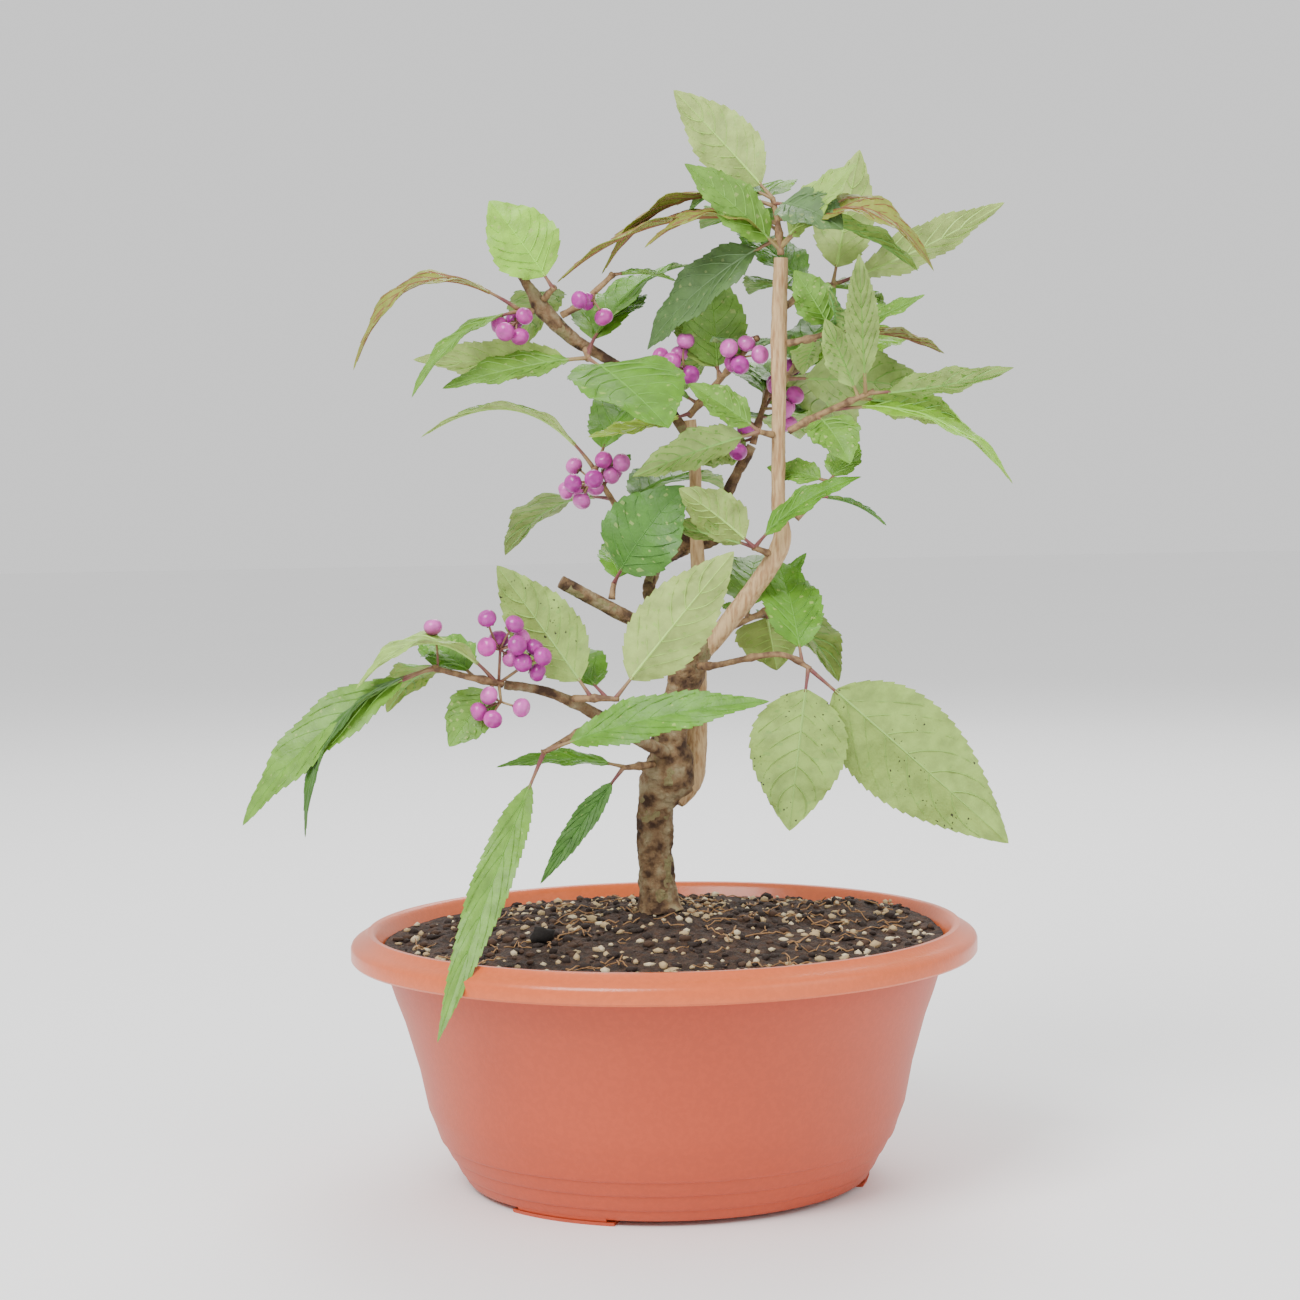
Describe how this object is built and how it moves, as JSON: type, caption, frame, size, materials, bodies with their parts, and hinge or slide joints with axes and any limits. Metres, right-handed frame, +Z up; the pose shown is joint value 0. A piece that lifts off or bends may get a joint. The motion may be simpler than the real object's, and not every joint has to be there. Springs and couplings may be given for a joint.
{
  "type": "potted beautyberry shrub",
  "caption": "Small beautyberry shrub with toothed leaves and clusters of violet berries, in a round terracotta-coloured plastic bowl pot filled with soil.",
  "frame": {"origin": "centre of the pot's underside, at the level its feet stand on", "axes": "+Z up, -Y towards the side that the picture shows, +X to that side's right"},
  "size_m": [0.1889, 0.1564, 0.2711],
  "materials": {
    "terracotta": "satin moulded plastic",
    "soil": "rough moist peat with pale grains",
    "bark": "rough grey-brown bark",
    "tan_wood": "smooth tan bark with fine streaks",
    "foliage": "soft matt leaf"
  },
  "bodies": {
    "root": {"pot": "terracotta", "soil": "soil", "trunk": "bark", "back_stem": "tan_wood", "leader": "tan_wood", "stub_bough": "bark", "rear_bough": "bark", "upper_left_bough": "bark", "lower_left_bough": "bark", "top_foliage": "foliage", "right_fork_foliage": "foliage", "right_upper_foliage": "foliage", "right_middle_foliage": "foliage", "right_rear_foliage": "foliage", "right_lower_foliage": "foliage", "leader_front_foliage": "foliage", "leader_left_foliage": "foliage", "centre_foliage": "foliage", "rear_foliage": "foliage", "middle_left_foliage": "foliage", "stub_foliage": "foliage", "upper_left_foliage": "foliage", "upper_left_top_foliage": "foliage", "upper_left_inner_foliage": "foliage", "upper_left_low_foliage": "foliage", "far_left_foliage": "foliage", "lower_left_foliage": "foliage", "drooping_foliage": "foliage", "burl_foliage": "foliage", "lower_right_foliage": "foliage", "right_twig_foliage": "foliage"}
  },
  "joints": []
}
